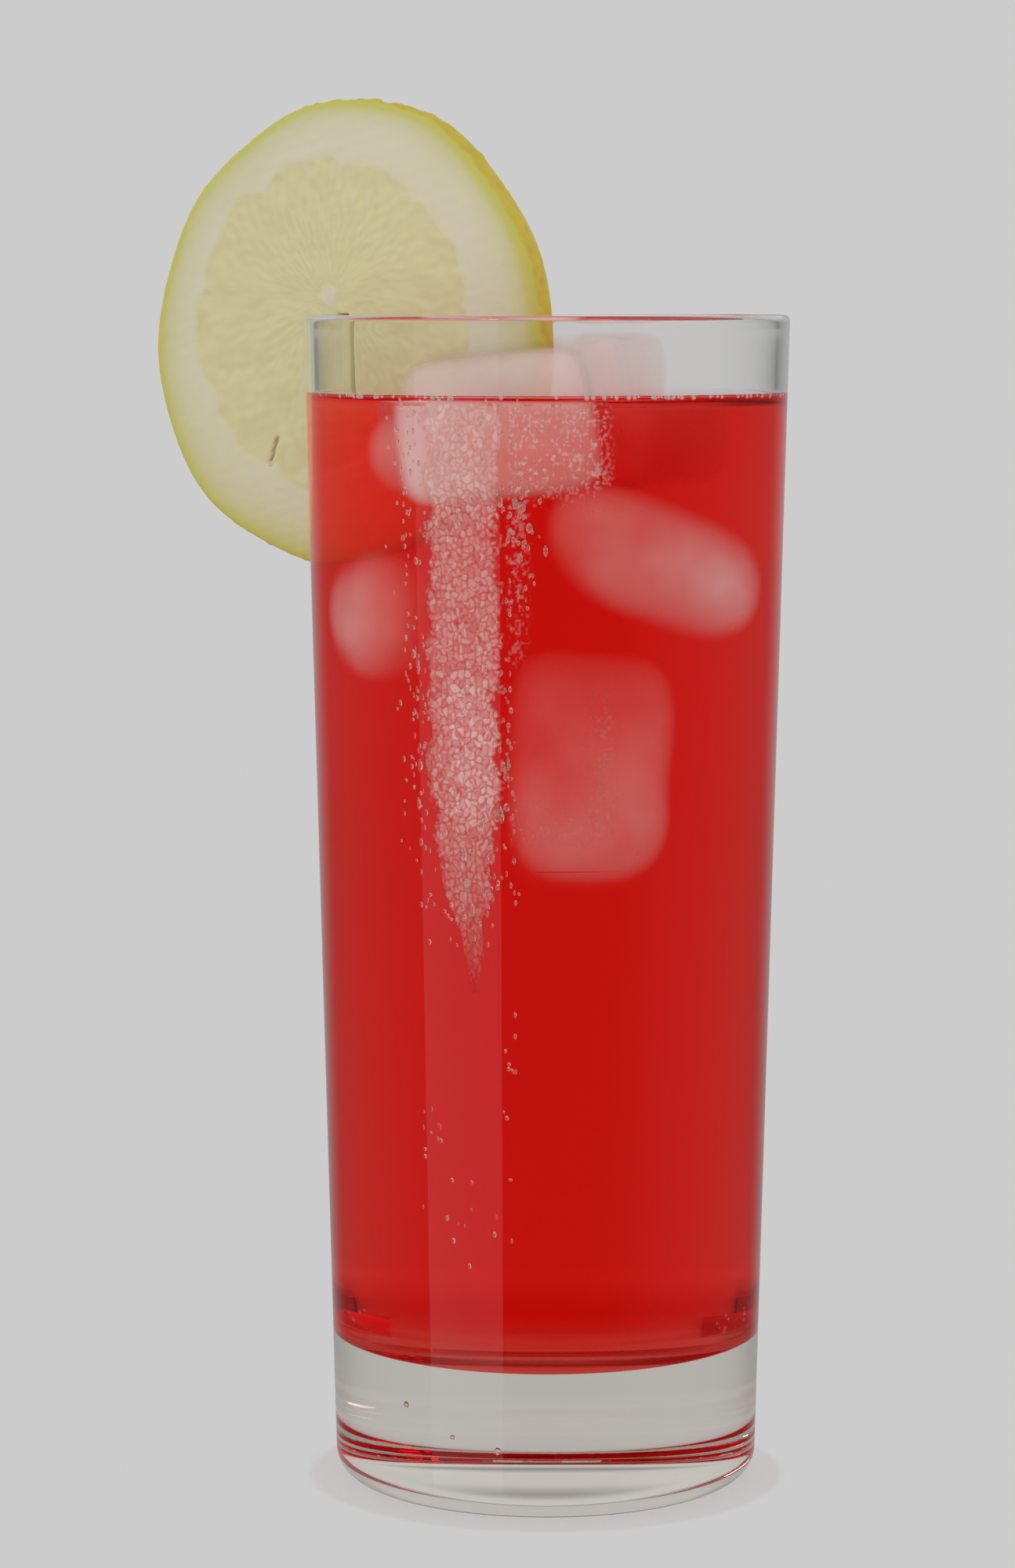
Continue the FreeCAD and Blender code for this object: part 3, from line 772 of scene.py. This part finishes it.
# Flesh, zest, peel and seed are laid over the pith in turn, each by its own share.
look = pith
for name, over in (("pulp", flesh), ("zest", linear("#C2BE5C")), ("peel", rind),
                   ("seed", linear("#A8895A"))):
    look = add_node(tree, "ShaderNodeMix", {0: share_of[name], 6: look, 7: over},
                    data_type="RGBA").outputs[2]
pores = add_node(tree, "ShaderNodeTexVoronoi",
                 {"Vector": place.outputs["Object"], "Scale": 1 / (PORE_SIZE * MM)})
pore_height = add_node(tree, "ShaderNodeMath", {0: pores.outputs["Distance"],
                                                1: share_of["peel"]}, operation="MULTIPLY")
dimples = add_node(
    tree, "ShaderNodeBump", {"Height": pore_height, "Strength": 0.35, "Distance": 0.2 * MM})
gloss = add_node(
    tree, "ShaderNodeMapRange", {"Value": share_of["pulp"], "To Min": 0.5, "To Max": 0.25})
# The part in the punch is lit through by the backdrop, which a faint glow stands for.
lit_through = add_node(
    tree, "ShaderNodeMath", {0: share_of["soaked"], 1: LIT_THROUGH}, operation="MULTIPLY")
lemon_shader = add_node(tree, "ShaderNodeBsdfPrincipled",
                        {"Base Color": look, "Roughness": gloss, "IOR": 1.38, "Normal": dimples,
                         "Subsurface Weight": 0.35, "Subsurface Radius": (1.0, 0.9, 0.4),
                         "Subsurface Scale": 2.5 * MM, "Emission Color": linear("#FFF2C8"),
                         "Emission Strength": lit_through})
add_node(tree, "ShaderNodeOutputMaterial", {"Surface": lemon_shader})
lemon.data.materials.append(cut_lemon)
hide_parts("lemon_slice")
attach(lemon, "root")


# ------------------------------------------------------------------ the bubbles
# Bubbles ride where the punch meets the glass, made pale by a painted highlight. Air is trapped as
# a few clear bubbles at the foot of the punch and in the thick base. Each kind is one mesh of small
# closed balls.

FOAM_RADII = (0.12, 0.36)
AIR_RADII = (0.18, 0.4)
AIR_HEIGHTS = (21.5, 25.5)
# Gas seeds in the thick base: places and radii.
SEEDS = np.array([[-17.9, -19.5, 14.0], [-11.9, -22.5, 10.4], [-6.2, -24.0, 9.0]])
SEED_RADII = [0.45, 0.35, 0.5]


def balls(name, middles, radii):
    """One mesh of balls: middle + radius * unit vector."""
    way = directions(np.radians([-54, -18, 18, 54]), 10)
    size = radii[:, None]
    pole = np.array([0, 0, 1.0])
    return skins(name, middles[:, None, None] + size[:, None, None] * way,
                 middles - size * pole, middles + size * pole)


random = np.random.default_rng(41)
# Degrees from the front, + to the right: some all along the front, and three crowds.
ring_angle = np.concatenate([random.uniform(-80, 80, 46), random.normal(-29, 3, 8),
                             random.normal(28, 4, 14), random.normal(-52, 6, 8)])
radii = random.uniform(*FOAM_RADII, len(ring_angle))
out = inside(LEVEL) - radii * 1.05
foam = balls("edge_bubbles", np.stack([out * np.sin(np.radians(ring_angle)),
                                       -out * np.cos(np.radians(ring_angle)),
                                       punch_top(out) + 0.3 * radii], axis=-1), radii)
bubble_film_and_highlight, tree = new_material("punch_bubble_film_and_painted_highlight")
# A film of punch round air, mostly clear. Its pale colour is a painted highlight that stands for
# the film's shine.
shader = add_node(tree, "ShaderNodeBsdfPrincipled",
                  {"Base Color": linear("#F0DAD6"), "Roughness": 0.15, "IOR": PUNCH_IOR,
                   "Alpha": 0.34})
add_node(tree, "ShaderNodeOutputMaterial", {"Surface": shader})
foam.data.materials.append(bubble_film_and_highlight)
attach(foam, "root")

low_angle = np.radians(np.concatenate([random.uniform(54, 74, 9), random.uniform(-70, -58, 4)]))
low_height = random.uniform(*AIR_HEIGHTS, len(low_angle))
low_out = inside(low_height) - 0.9 - np.maximum(24 - low_height, 0) * 0.6
middles = np.concatenate([np.stack([low_out * np.sin(low_angle), -low_out * np.cos(low_angle),
                                    low_height], axis=-1), SEEDS])
radii = np.concatenate([random.uniform(*AIR_RADII, len(low_angle)), SEED_RADII])
air = balls("trapped_bubbles", middles, radii)
trapped, tree = new_material("air_trapped_in_punch_and_glass")
# Air inside a denser stuff bends light the other way: its index over theirs is about 0.72.
shader = add_node(tree, "ShaderNodeBsdfPrincipled", {**CLEAR, "IOR": 0.72})
add_node(tree, "ShaderNodeOutputMaterial", {"Surface": let_light_in(tree, shader)})
air.data.materials.append(trapped)
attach(air, "root")


# ------------------------------------------------------------------ the condensation
# Water from the air on the cold glass: a band of fine mist that has run together into flakes,
# sparser specks beside it, and clear drops round its borders. The band lies on the front left,
# where the soft light's reflection falls, and its milky white is partly a painted highlight that
# stands for that reflection in the droplets.

SINK = 0.05                    # domes and sheets reach this far into the wall, so that no gap shows
DIP = 0.04                     # a sheet without water lies this far under the wall's skin
FLAT_RADIUS = 31.0             # patterns are laid out on a wall of this radius
MIST_FOOT = 67.0
MIST_TIP = (-19.5, -16.5)      # left and right edge, in degrees from the front, at its tip
MIST_BAND = (-32.5, -9.9)      # and higher up
SPECKS_FOOT = 86.0
SPECKS_BAND = (-10.8, 20.0)
MIST_TOP = LEVEL + 0.7
WATER_IOR = 1.33
# Sizes of drops: least and most half width, half height and thickness.
SMALL = (0.10, 0.26), (0.20, 0.46), (0.05, 0.11)
LARGE = (0.24, 0.42), (0.5, 0.95), (0.12, 0.24)
DROP_PATCHES = [
    # how many, between which azimuths and heights, size
    (70, -11.5, -2.5, 121.0, 141.5, SMALL),      # right border, high
    (9, -9.5, -4.0, 122.0, 136.0, LARGE),
    (70, -37.0, -30.0, 90.0, 118.0, SMALL),      # left border, low
    (6, -33.5, -31.0, 96.0, 130.0, LARGE),
    (60, -12.0, -8.0, 88.0, 114.0, SMALL),       # right border, low
    (5, -11.5, -9.0, 88.0, 104.0, LARGE),
    (80, -30.0, -12.0, 76.0, 92.5, SMALL),       # round the tip of the mist
    (6, -26.0, -12.0, 80.0, 92.0, LARGE),
    (45, -38.0, -31.0, 128.0, 146.0, SMALL),     # left border, high
    (60, -30.0, -12.0, 93.0, 146.0, SMALL),      # on the mist
    (9, -14.0, -7.0, 55.0, 66.0, SMALL),         # a few far below it
    (9, -34.0, -27.0, 48.0, 54.0, SMALL),
    (16, -32.0, -10.0, 34.0, 50.0, SMALL),
]


def on_wall(turn, height, off):
    """Points off mm outside the wall; turn is radians from the front, + to the right."""
    radius = outside(height) + off
    return np.stack([radius * np.sin(turn), -radius * np.cos(turn), height + 0 * turn], axis=-1)


def domes(name, spots, uneven, seed):
    """Flat closed domes on the outside of the glass, one for each row of spots.

    A spot is azimuth (degrees, + to the right), height, half width, half height, thickness.
    At angle a round a dome and share s of its outline, a point lies
    s * (1 + uneven * (cos(2a + p) + cos(3a + q))) half sizes from the middle and
    thickness * sqrt(1 - s^2) off the wall.
    """
    azimuth, height, wide, tall, thick = (column[:, None, None] for column in spots.T)
    random = np.random.default_rng(seed)
    p, q = random.uniform(0, 2 * np.pi, (2, len(spots), 1, 1))
    share = np.array([1.0, 0.85, 0.5])[None, :, None]
    off = np.array([0.0, 0.53, 0.87])[None, :, None]
    angle = np.linspace(0, 2 * np.pi, 9, endpoint=False)[None, None, :]
    blob = share * (1 + uneven * (np.cos(2 * angle + p) + np.cos(3 * angle + q)))
    up = height + blob * tall * np.sin(angle)
    turn = np.radians(azimuth) + blob * wide * np.cos(angle) / outside(height)
    rings = on_wall(turn, up, off * thick - SINK * (share > 0.9))
    middle, flat_height = np.radians(spots[:, 0]), spots[:, 1]
    return skins(name, rings, on_wall(middle, flat_height, -SINK),
                 on_wall(middle, flat_height, spots[:, 4]))


def sprinkle(count, left, right, low, high, size):
    """Spots spread at random round the middle of a patch.

    Four fifths of them lie inside the patch and the rest thin out round it.
    """
    place = [random.normal((a + b) / 2, (b - a) / 3.2, count)
             for a, b in ((left, right), (low, high))]
    place[1] = np.minimum(place[1], LEVEL + 0.5)
    return np.stack(place + [random.uniform(*pair, count) for pair in size], axis=-1)


def crackle(x, y, wide, tall, seed):
    """Share of flake at points of the wall, and the level of the flake that each lies in.

    The flakes are the cells of a shaken grid. With the distances F1 and F2 to the nearest and the
    next middle, in cell sizes, the share is an S curve of F2 - F1, so the gaps follow the edges.
    """
    column, row = x / wide, y / tall
    across, up = np.floor(column).astype(int), np.floor(row).astype(int)
    first, lowest = across.min() - 1, up.min() - 1
    random = np.random.default_rng(seed)
    cells = (across.max() - first + 2, up.max() - lowest + 2)
    shake, levels = random.uniform(0.1, 0.9, (*cells, 2)), random.uniform(0.35, 1.45, cells)
    nearest, second = np.full(x.shape, 9.0), np.full(x.shape, 9.0)
    level = np.zeros(x.shape)
    for i in (-1, 0, 1):
        for j in (-1, 0, 1):
            a, b = across - first + i, up - lowest + j
            away = np.hypot(across + i + shake[a, b, 0] - column, up + j + shake[a, b, 1] - row)
            closer = away < nearest
            second = np.where(closer, nearest, np.minimum(second, away))
            level = np.where(closer, levels[a, b], level)
            nearest = np.where(closer, away, nearest)
    return smooth(0.06, 0.36, second - nearest), level


def film(name, azimuth, height, present, share, milk_and_sheen):
    """Thin closed sheet on the outside of the glass over a grid of azimuths (degrees) and heights.

    It stands 0.02 + 0.07 * share mm off the wall where present is 1, and dips under the wall's
    skin by DIP where it is 0. It reaches SINK into the wall; present and milk are kept on it.
    """
    outer = on_wall(np.radians(azimuth), height, present * (0.06 + 0.07 * share) - DIP)
    inner = on_wall(np.radians(azimuth), height, -SINK)
    made = skin(name, np.concatenate([outer, inner[:, ::-1]], axis=1),
                (outer[0, 0] + inner[0, -1]) / 2, (outer[-1, 0] + inner[-1, -1]) / 2)
    for label, field in (("milk_and_sheen", milk_and_sheen), ("present", present)):
        both = np.concatenate([field, field[:, ::-1]], axis=1).ravel()
        mark(made.data, label, np.append(both, [0, 0]))
    return made


def below_level(height):
    """1 under the level of the punch and 0 over it, with an S curve between."""
    return 1 - smooth(-0.4, 0.2, height - LEVEL)


# The band of mist, between two edges that close to a tip below, laid where the soft light's
# reflection falls.
height = np.linspace(MIST_FOOT, MIST_TOP, 440)[:, None]
spread = smooth(68, 96, height)
left, right = (tip + (band - tip) * spread for tip, band in zip(MIST_TIP, MIST_BAND))
place = np.linspace(0, 1, 84)[None, :]
azimuth = left + (right - left) * place
x, y = FLAT_RADIUS * np.radians(azimuth), height + 0 * azimuth
x, y = x + 0.16 * pattern(x, y, 1.6, 37), y + 0.22 * pattern(x, y, 2.0, 38)
share, level = crackle(x, y, 0.78, 1.0, 32)
fine_share, fine_level = crackle(x, y, 0.40, 0.50, 33)
streak = smooth(-27, -21, azimuth) * smooth(91, 95, height) * (1 - smooth(107, 114, height))
ragged = place + 0.05 * pattern(x, y, 7.0, 39) + 0.025 * pattern(x, y, 1.1, 44)
fade = (smooth(0.08, 0.24, ragged) * (1 - smooth(0.86, 0.95, ragged))
        * (0.15 + 0.85 * spread) * smooth(67, 72, height) * below_level(height))
# The milk is partly painted highlight: the white that the soft light's reflection gives the
# droplets, stronger along the streak.
milk_and_sheen = (fade * (0.04 + 0.17 * share * level + 0.08 * fine_share * fine_level)
        * (0.78 + 0.45 * streak))
mist = film("condensation_mist", azimuth, height, smooth(0.0, 0.3, fade), share, milk_and_sheen)

# Finer, sparser specks over the floating ice and round the middle sunk cube.
height = np.linspace(SPECKS_FOOT, MIST_TOP, 252)[:, None]
place = np.linspace(0, 1, 76)[None, :]
azimuth = SPECKS_BAND[0] + (SPECKS_BAND[1] - SPECKS_BAND[0]) * place + 0 * height
x, y = FLAT_RADIUS * np.radians(azimuth), height + 0 * azimuth
share, level = crackle(x + 0.1 * pattern(x, y, 1.2, 40), y, 0.42, 0.60, 41)
over_ice = smooth(131, 138, height) * (1 - smooth(11, 17, azimuth))
by_band = (1 - smooth(-8, -3, azimuth)) * smooth(110, 118, height)
round_cube = (np.exp(-((azimuth - 13.5) / 4.0) ** 2) * smooth(88, 94, height)
              * (1 - smooth(104, 114, height))
              + np.exp(-((height - 91.5) / 3.0) ** 2) * (1 - smooth(8, 17, azimuth)))
where = (np.clip(over_ice + by_band + 0.35 * round_cube + 0.06, 0, 1) * smooth(0.02, 0.08, place)
         * (1 - smooth(0.85, 0.97, place)) * smooth(87, 91, height) * below_level(height))
speck = share * smooth(0.7, 1.2, level)
specks = film("condensation_specks", azimuth, height, smooth(0.02, 0.3, speck * where), speck,
              (0.11 + 0.10 * over_ice) * speck * where)

misted, tree = new_material("fine_condensation_and_painted_sheen")
# Water, IOR 1.33, in droplets too small to see one by one: a milky veil over the wall. Its white is
# partly a painted highlight that stands for the soft light's reflection in the droplets.
whiteness_and_sheen = add_node(tree, "ShaderNodeAttribute", attribute_name="milk_and_sheen")
clearness = add_node(
    tree, "ShaderNodeMath", {0: 1.0, 1: whiteness_and_sheen.outputs["Fac"]}, operation="SUBTRACT")
veil = add_node(tree, "ShaderNodeBsdfPrincipled",
                {"Base Color": linear("#F6E8E2"), "Roughness": 0.0, "IOR": WATER_IOR,
                 "Transmission Weight": clearness})
bare = add_node(tree, "ShaderNodeBsdfPrincipled", {**CLEAR, "IOR": 1.0})
# Where the sheet ends there is no water, and it bends nothing.
presence = add_node(tree, "ShaderNodeAttribute", attribute_name="present")
shader = add_node(tree, "ShaderNodeMixShader", {0: presence.outputs["Fac"], 1: bare, 2: veil})
add_node(tree, "ShaderNodeOutputMaterial", {"Surface": let_light_in(tree, shader)})
for sheet in (mist, specks):
    sheet.data.materials.append(misted)
    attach(sheet, "root")

random = np.random.default_rng(31)
drop_spots = np.concatenate([sprinkle(*patch) for patch in DROP_PATCHES])
drops = domes("condensation_drops", drop_spots, 0.05, 35)
water, tree = new_material("condensed_water_drops")
# Clear water, IOR 1.33; the little white is the light that so small a drop scatters.
shader = add_node(tree, "ShaderNodeBsdfPrincipled",
                  {"Base Color": linear("#FBE6DC"), "Roughness": 0.0, "IOR": WATER_IOR,
                   "Transmission Weight": 0.96})
add_node(tree, "ShaderNodeOutputMaterial", {"Surface": let_light_in(tree, shader)})
drops.data.materials.append(water)
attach(drops, "root")
